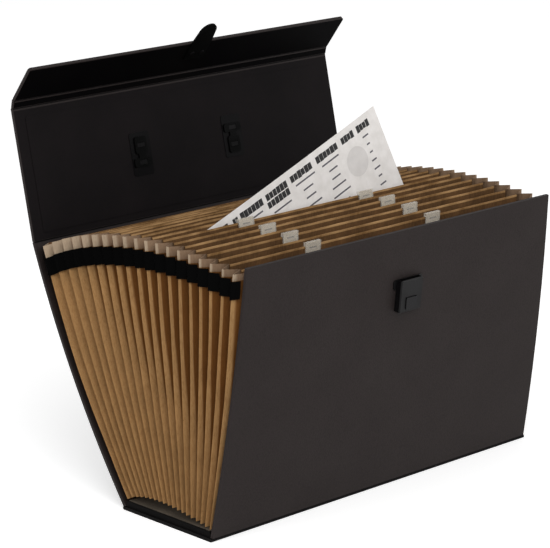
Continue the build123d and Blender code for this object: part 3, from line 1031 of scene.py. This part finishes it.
@dataclass
class PocketCards:
    """Kraft cards between the pockets, with their pale top edges, which carry a painted highlight,
    and the two linings.
    """

    width: float = 361.0
    short: float = 1.0
    end_gap: float = 0.3
    edge: tuple[Pair, ...] = ((0.5, -1.65), (0.5, -0.3), (0.28, 0.15))  # half of its outline
    wave: float = 0.22
    steps: int = 72
    tab_clear: float = 9.4

    def _section(self, fold: int, x: float) -> list[Vector]:
        """Outline of the top edge of a card at a place along X.

        Args:
            fold: Number of the fold line that the card stands on.
            x: The place in millimetres.

        Returns:
            The points of the outline in metres.
        """
        outline = [(-across, up) for across, up in self.edge] + list(self.edge[::-1])
        share = fold / FAN.pockets
        top = FAN.height(share) - self.short
        wave = self.wave * noise.noise(Vector((x * 0.045, fold * 3.1, 0)))
        points = []
        for across, up in outline:
            reach = top + up + (wave if up > self.edge[0][1] else 0)
            near, far = FAN.point(share, reach - 1.0), FAN.point(share, reach)
            lean = math.atan2(far[0] - near[0], far[1] - near[1])
            y, z = far[0] + across * math.cos(lean), far[1] - across * math.sin(lean)
            points.append(Vector((x, y, z)) * MM)
        return points

    def _top_edge(self, fold: int, breaks: Sequence[float]) -> None:
        """Makes the slightly swollen top edge of a card, pale with a painted highlight.

        Args:
            fold: Number of the fold line that the card stands on.
            breaks: Places along X where a tab holder covers the edge.
        """
        stops = [-self.width / 2 + self.end_gap]
        for place in sorted(breaks):
            stops += [place - self.tab_clear, place + self.tab_clear]
        stops.append(self.width / 2 - self.end_gap)
        points: list[Vector] = []
        faces: list[tuple[int, ...]] = []
        for start, end in zip(stops[::2], stops[1::2]):
            steps = max(2, int(self.steps * (end - start) / self.width))
            base = len(points)
            for step in range(steps + 1):
                points += self._section(fold, start + (end - start) * step / steps)
            last = len(points)
            count = (last - base) // (steps + 1)
            for ring in range(base, last - count, count):
                for side in range(count):
                    a, b = ring + side, ring + (side + 1) % count
                    faces.append((a, b, b + count, a + count))
            faces.append(tuple(range(base, base + count))[::-1])
            faces.append(tuple(range(last - count, last)))
        edge = build_piece(f"card_edge_{fold:02d}", points, faces, 50.0)
        settle(edge, FAN.body(fold), KRAFT_EDGE_LIT)

    def build(self) -> None:
        """Dresses the cards and adds their top edges."""
        for name in sorted(NODES):
            if name.startswith("divider_") or name.endswith("_pocket_panel"):
                dress_node(name, KRAFT_CARD_SHADED)
        tabs = IndexTabs()
        for fold in range(1, FAN.pockets):
            self._top_edge(fold, tabs.places if fold in tabs.dividers else ())
        dress_node("pocket_floor", KRAFT_FLOOR)
        dress_node("base_lining", GREY_LINING)


@dataclass
class Covers:
    """Covered boards, their linings and the folded covering along each fold line."""

    width: float = 391.0
    base_width: float = 403.0
    half_board: float = 1.5
    skin: Pair = (1.53, 0.16)  # inner radius and thickness
    inlay: Pair = (1.705, 0.12)
    inlay_reach: Pair = (56.0, 10.0)  # degrees on its opening and its closing side
    steps: int = 14
    paper: float = 0.08
    paper_lift: float = 0.005
    paper_share: float = 0.997  # it stops just short of both ends of the board
    paper_grid: tuple[int, int] = (24, 8)

    def _fold(
        self, name: str, centre: Pair, ends: Pair, width: float, body: str, sheet: Pair
    ) -> None:
        """Covering drawn round the rounded edge of a board.

        Args:
            name: Name of the piece.
            centre: Fold line as (y, z) in millimetres.
            ends: First and last angle in degrees, from +Y towards +Z.
            width: Length of the fold along X.
            body: Body that carries it.
            sheet: Radius of its inner face, and its thickness.
        """
        rows = []
        radius = sheet[0] + sheet[1] / 2
        for step in range(self.steps + 1):
            angle = math.radians(ends[0] + (ends[1] - ends[0]) * step / self.steps)
            y = centre[0] + radius * math.cos(angle)
            z = centre[1] + radius * math.sin(angle)
            rows.append([Vector((x * width / 2, y, z)) * MM for x in (-1.0, -0.34, 0.34, 1.0)])
        # the folds take the darker copy of the covering, with painted shade
        settle(thick_sheet(name, rows, sheet[1] * MM), body, COVERING_SHADED)

    def _turned_in(
        self, name: str, start: Pair, lean: float, span: Pair, body: str, finish: Finish
    ) -> None:
        """Lines the inner face of a board with the paper that is turned in over its edges.

        Args:
            name: Name of the piece.
            start: Fold line that the board starts from, as (y, z) in millimetres.
            lean: Lean of the board in degrees.
            span: Lowest and highest reach up the board.
            body: Body that carries it.
            finish: Its finish.
        """
        rows = []
        columns, steps = self.paper_grid
        places = [self.width * self.paper_share * (c / columns - 0.5) for c in range(columns + 1)]
        inwards = self.half_board + self.paper / 2 + self.paper_lift
        for step in range(steps + 1):
            reach = span[0] + (span[1] - span[0]) * step / steps
            y, z = along(start, lean, reach, -inwards)
            rows.append([Vector((x, y, z)) * MM for x in places])
        settle(thick_sheet(name, rows, self.paper * MM), body, finish)

    def build(self) -> None:
        """Dresses the boards and adds the folded covering and the paper turned in."""
        for name in ("front_board", "back_board", "lid_board", "fold_strip", "flap_board"):
            dress_node(name, COVERING)
        # the base board takes the darker copy of the covering, with painted shade
        dress_node("base_board", COVERING_SHADED)
        dress_node("base_pad", PAD_CARD)
        dress_node("lid_lining", LINING_BLACK)
        for name, centre, ends in (
            ("base_fold_front", FAN.front_fold, (95, 235)),
            ("base_fold_back", FAN.back_fold, (-55, 85)),
        ):
            self._fold(name, centre, ends, self.base_width, "base", self.skin)
        folds = (
            ("lid", LID_FOLD, FAN.back_tilt, LID_LEAN, "back_cover", "lid"),
            ("strip", STRIP_FOLD, LID_LEAN, STRIP_LEAN, "lid", "fold_strip_body"),
            ("flap", FLAP_FOLD, STRIP_LEAN, FLAP_LEAN, "fold_strip_body", "flap"),
        )
        for word, centre, lean, _, body, _ in folds:
            name = f"{word}_fold_covering"
            self._fold(name, centre, (-lean, 180 - lean), self.width, body, self.skin)
        # Covering let in round each fold, so that no light passes between the two boards.
        for word, centre, _, lean, _, body in folds:
            ends = (90 - lean - self.inlay_reach[0], 90 - lean + self.inlay_reach[1])
            self._fold(f"{word}_fold_inlay", centre, ends, self.width, body, self.inlay)
        spans = ((2.2, 119.0), (2.2, 7.2), (2.2, 39.0))
        for (word, centre, _, lean, _, body), span in zip(folds, spans):
            # the strip and the flap take the blacker lining, with painted shade, as they face down
            finish = LINING_BLACK if word == "lid" else TURN_IN_SHADED
            self._turned_in(f"{word}_turned_in_paper", centre, lean, span, body, finish)


@dataclass
class IndexSheet:
    """Loose contents sheet standing on one corner in a pocket, with plain printed bars."""

    width: float = 280.0
    height: float = 226.0
    thickness: float = 0.3
    tilt: float = 19.3
    corner_x: float = -86.3
    divider: int = 10
    stand: float = 0.9
    curl: float = 2.2
    pressed: float = 0.7
    grid: tuple[int, int] = (20, 16)
    heads: tuple[Triple, ...] = (  # start and end along the width, middle below the top edge
        (8.0, 34.0, 9.3),
        (41.0, 68.0, 9.3),
        (74.0, 81.0, 9.3),
        (84.0, 114.0, 9.3),
        (118.5, 147.5, 9.3),
        (152.5, 182.5, 9.3),
        (189.0, 220.0, 9.3),
        (226.0, 244.0, 9.3),
        (249.0, 267.0, 9.3),
        (117.5, 147.5, 16.6),
    )
    head_height: float = 7.2
    head_uneven: Pair = (0.88, 0.2)  # least share of the height, and how far it varies
    head_filled: Pair = (0.92, 0.06)  # the same for the width of a block
    block: float = 4.9
    columns: tuple[Triple, ...] = (  # middle, width and first line below the top edge
        (21.0, 26.0, 17.0),
        (54.0, 26.0, 17.0),
        (101.0, 18.0, 17.0),
        (133.5, 24.0, 25.5),
        (169.5, 27.0, 17.0),
        (205.5, 24.0, 17.5),
        (257.0, 8.5, 19.0),
    )
    line_height: float = 1.5
    line_pitch: float = 8.2
    line_widths: tuple[float, ...] = (1.0, 0.5, 0.5, 0.8, 1.0, 0.6)
    foot_margin: float = 12.0
    disc: Triple = (236.8, 34.8, 14.0)  # place along the width, below the top edge, and radius
    disc_sides: int = 40
    tint_gap: float = 0.05
    ink_gap: float = 0.08

    def _corner(self) -> tuple[Vector, Vector, Vector]:
        """Lowest corner of the sheet, with the directions up its pocket and out of its front."""
        share = self.divider / FAN.pockets
        up, front = FAN.axes(share)
        return Vector((self.corner_x, *FAN.pivot(share))) + front * self.stand, up, front

    def _point(self, a: float, b: float, off: float = 0.0) -> Vector:
        """Finds a point of the sheet.

        Args:
            a: Distance along its width in millimetres.
            b: Distance along its height.
            off: Distance off its middle, towards the front.

        Returns:
            The point in metres.
        """
        corner, up, front = self._corner()
        across, tilt = Vector((1, 0, 0)), math.radians(self.tilt)
        wide = across * math.cos(tilt) + up * math.sin(tilt)
        high = up * math.cos(tilt) - across * math.sin(tilt)
        bend = self.curl * math.sin(math.pi * a / self.width) * (b / self.height) ** 2
        return (corner + wide * a + high * b + front * (bend + off)) * MM

    def _bar(self, left: float, right: float, down: float, high: float) -> list[Pair]:
        """Corners of a bar that is printed on the sheet.

        Args:
            left: Its left end along the width.
            right: Its right end.
            down: Its middle, below the top edge.
            high: Its height.

        Returns:
            The corners along the width and height.
        """
        low, top = self.height - down - high / 2, self.height - down + high / 2
        return [(left, low), (right, low), (right, top), (left, top)]

    def _print(self, name: str, shapes: list[list[Pair]], finish: Finish, gap: float) -> None:
        """Prints flat shapes as a thin layer on the front of the sheet.

        Args:
            name: Name of the piece.
            shapes: Outline of each shape, along the width and height in millimetres.
            finish: The ink.
            gap: Distance of the ink from the paper's face.
        """
        off = self.thickness / 2 + gap
        piece = flat_shapes(name, [[self._point(a, b, off) for a, b in s] for s in shapes])
        settle(piece, "index_sheet_body", finish)
        self._press(piece)

    def _headings(self) -> list[list[Pair]]:
        """Heading bars, each a row of small uneven blocks."""
        shapes = []
        for left, right, down in self.heads:
            count = max(2, round((right - left) / self.block))
            step = (right - left) / count
            for place in range(count):
                start = left + step * place
                uneven = noise.noise(Vector((start * 0.9, down, 0)))
                high = self.head_height * (self.head_uneven[0] + self.head_uneven[1] * uneven)
                end = start + step * (self.head_filled[0] + self.head_filled[1] * uneven)
                shapes.append(self._bar(start, end, down, high))
        return shapes

    def _lines(self) -> list[list[Pair]]:
        """Thin centred lines below the headings."""
        shapes = []
        for middle, width, first in self.columns:
            for row in range(int((self.height - self.foot_margin - first) / self.line_pitch)):
                half = width / 2 * self.line_widths[row % len(self.line_widths)]
                down = first + self.line_pitch * row
                shapes.append(self._bar(middle - half, middle + half, down, self.line_height))
        return shapes

    def _press(self, piece: Object) -> None:
        """Gives the piece its own copy of its mesh."""
        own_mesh(piece)

    def build(self) -> None:
        """Builds the sheet and its print."""
        columns, rows = self.grid
        across = [column / columns for column in range(columns + 1)]
        points = [
            [self._point(self.width * a, self.height * b / rows) for a in across]
            for b in range(rows + 1)
        ]
        sheet = thick_sheet("contents_sheet", points, self.thickness * MM)
        settle(sheet, "index_sheet_body", PAPER)
        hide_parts("index_sheet")
        self._press(sheet)
        middle, down, radius = self.disc
        turns = [2 * math.pi * step / self.disc_sides for step in range(self.disc_sides)]
        disc = [
            (middle + radius * math.cos(t), self.height - down + radius * math.sin(t))
            for t in turns
        ]
        self._print("contents_tint", [disc], TINT, self.tint_gap)
        self._print("contents_headings", self._headings(), INK, self.ink_gap)
        self._print("contents_lines", self._lines(), GREY_INK, self.ink_gap)


@dataclass
class Clasp:
    """Catch on the front board and tongue on the flap."""

    window_centre: Pair = (7.0, 56.0)
    window: Pair = (10.6, 5.6)  # its rim is let into the tongue
    face: float = 3.1
    web: float = 0.14
    # a matt black strip of painted shade over the top of the catch's front
    shade_strip: Pair = (25.4, 7.5)
    shade_strip_from_top: float = 1.2
    shade_strip_thickness: float = 0.3
    lift: float = 0.02

    def _plate(
        self, name: str, middle: Vector, up: Vector, size: Pair, thickness: float, body: str
    ) -> None:
        """Adds a thin flat plate of black nylon that lies along X.

        Args:
            name: Name of the piece.
            middle: Its middle in metres.
            up: Direction of its height.
            size: Its width and height in millimetres.
            thickness: Its thickness in millimetres.
            body: Body that carries it.
        """
        wide, high = Vector((size[0] * MM, 0, 0)), up * (size[1] * MM)
        steps = (-0.5, 0.0, 0.5)
        rows = [[middle + wide * a + high * b for a in steps] for b in steps]
        settle(thick_sheet(name, rows, thickness * MM), body, NYLON)

    def _window_web(self) -> None:
        """Closes the tongue's window with the thin web that the mould leaves on its inner face."""
        x, reach = self.window_centre
        y, z = along(FLAP_FOLD, FLAP_LEAN, reach, self.web / 2 + self.lift - self.face)
        lean = math.radians(FLAP_LEAN)
        up = Vector((0, math.sin(lean), math.cos(lean)))
        middle = Vector((x, y, z)) * MM
        self._plate("tongue_window_web", middle, up, self.window, self.web, "flap")

    def _mouth_shade(self) -> None:
        """Lays a thin matt black strip on the lip of the catch's mouth, which the tongue slides
        past: painted shade standing in for the shaded mouth.
        """
        mesh = NODES["catch_housing"].data
        front = max((f for f in mesh.polygons if f.normal.y < -0.9), key=lambda f: f.area)
        out = front.normal.copy()
        up = (Vector((0, 0, 1)) - out * out.z).normalized()
        level = front.center.dot(out) + (self.shade_strip_thickness / 2 + self.lift) * MM
        top = max(v.co.dot(up) for v in mesh.vertices)
        top -= (self.shade_strip_from_top + self.shade_strip[1] / 2) * MM
        middle = Vector((self.window_centre[0] * MM, 0, 0)) + up * top + out * level
        self._plate("catch_mouth_painted_shade", middle, up, self.shade_strip, self.shade_strip_thickness, "front_cover")

    def build(self) -> None:
        """Dresses the clasp."""
        self._window_web()
        self._mouth_shade()
        dress_node("catch_housing", BLACK_PLASTIC)
        dress_node("catch_button", BUTTON_PLASTIC)
        dress_node("catch_rivets", STEEL)
        dress_node("clasp_tongue", NYLON)
        dress_node("tongue_rivets", STEEL)


@dataclass
class CarryHandle:
    """Handle outside the lid with its plates and keepers inside."""

    def build(self) -> None:
        """Dresses the handle."""
        dress_node("carry_handle", HANDLE_PLASTIC)
        for side in Side:
            word = side.name.lower()
            dress_node(f"handle_plate_{word}", STEEL)
            dress_node(f"handle_keeper_{word}", NYLON)


# ---------------------------------------------------------------- studio


@dataclass
class Studio:
    """Pale floor, soft lights and the camera."""

    azimuth: float = 43.943
    elevation: float = 15.114
    distance: float = 2.401693
    target: Triple = (-0.032934, 0.04, 0.185842)
    focal: float = 2674.932
    frame_width: float = 550.0
    sensor: float = 36.0
    world_strength: float = 0.55
    floor_size: float = 24.0
    floor_tone: float = 0.93
    floor_lift: float = 0.42
    aim: Triple = (0.0, 0.04, 0.15)
    lamps: tuple[tuple[str, Triple, float, float], ...] = (  # name, place, side and power
        ("key_softbox", (-1.3, -1.9, 2.1), 1.6, 34.0),
        ("fill_softbox", (1.9, -1.5, 1.2), 1.6, 12.0),
        ("side_softbox", (-2.4, 0.5, 1.1), 1.2, 14.0),
    )

    def _camera(self) -> None:
        """Sets the camera at the object."""
        data = bpy.data.cameras.new("camera")
        data.sensor_fit = "HORIZONTAL"
        data.sensor_width = self.sensor
        data.lens = self.focal / self.frame_width * self.sensor
        data.clip_end = 50.0
        camera = place_object("camera", data)
        a, e = math.radians(self.azimuth), math.radians(self.elevation)
        ahead = Vector((math.sin(a) * math.cos(e), math.cos(a) * math.cos(e), -math.sin(e)))
        camera.location = Vector(self.target) - ahead * self.distance
        camera.rotation_euler = ahead.to_track_quat("-Z", "Y").to_euler()
        bpy.context.scene.camera = camera

    def _lamp(self, name: str, place: Triple, size: float, power: float) -> None:
        """Adds a soft square lamp aimed at the middle of the object.

        Args:
            name: Name of the lamp.
            place: Its place in metres.
            size: Its side in metres.
            power: Its power in watts.
        """
        data = bpy.data.lights.new(name, "AREA")
        data.shape = "SQUARE"
        data.size = size
        data.energy = power
        lamp = place_object(name, data)
        lamp.location = place
        ahead = Vector(self.aim) - lamp.location
        lamp.rotation_euler = ahead.to_track_quat("-Z", "Y").to_euler()

    def _seen(self, graph: Graph) -> Node:
        """Gives 1 where the backdrop is seen: straight, in gloss, or through something clear.

        Args:
            graph: The material or world in the making.

        Returns:
            The node that gives it.
        """
        path = graph.add("LightPath").outputs
        most = {"operation": "MAXIMUM"}
        direct = graph.add("Math", most, {0: path["Is Camera Ray"], 1: path["Is Glossy Ray"]})
        return graph.add("Math", most, {0: direct, 1: path["Is Transmission Ray"]})

    def _world(self) -> None:
        """Sets even soft light with a white background."""
        world = bpy.data.worlds.new("studio_world")
        bpy.context.scene.world = world
        world.use_nodes = True
        graph = Graph(world.node_tree)
        ends = {"To Min": self.world_strength, "To Max": 1.0}
        strength = graph.add("MapRange", ends, {"Value": self._seen(graph)})
        light = graph.add("Background", {"Color": WHITE}, {"Strength": strength})
        graph.add("OutputWorld", links={"Surface": light})

    def _floor(self) -> None:
        """Lays a plain pale floor that keeps the object's shadow."""
        half = self.floor_size / 2
        floor = flat_shapes("studio_floor", [[Vector((x * half, y * half, 0)) for x, y in CORNERS]])
        material = bpy.data.materials.new("pale_floor")
        material.use_nodes = True
        graph = Graph(material.node_tree)
        diffuse = graph.add("BsdfDiffuse", {"Color": (*[self.floor_tone] * 3, 1.0)})
        lift = {"operation": "MULTIPLY", 1: self.floor_lift}
        strength = graph.add("Math", lift, {0: self._seen(graph)})
        glow = graph.add("Emission", {"Color": WHITE}, {"Strength": strength})
        both = graph.add("AddShader", links={0: diffuse, 1: glow})
        graph.add("OutputMaterial", links={"Surface": both})
        floor.data.materials.append(material)

    def build(self) -> None:
        """Builds the studio."""
        bpy.context.scene.view_settings.view_transform = "Standard"
        self._camera()
        self._world()
        self._floor()
        for lamp in self.lamps:
            self._lamp(*lamp)


def main() -> None:
    """Builds the studio and dresses the sub-assemblies in order."""
    logging.basicConfig(level=logging.INFO, format="%(name)s: %(message)s")
    for part in (
        Studio(),
        Covers(),
        PocketCards(),
        Concertina(),
        IndexTabs(),
        IndexSheet(),
        Clasp(),
        CarryHandle(),
    ):
        log.info("building %s", type(part).__name__)
        part.build()


if __name__ == "__main__":
    main()
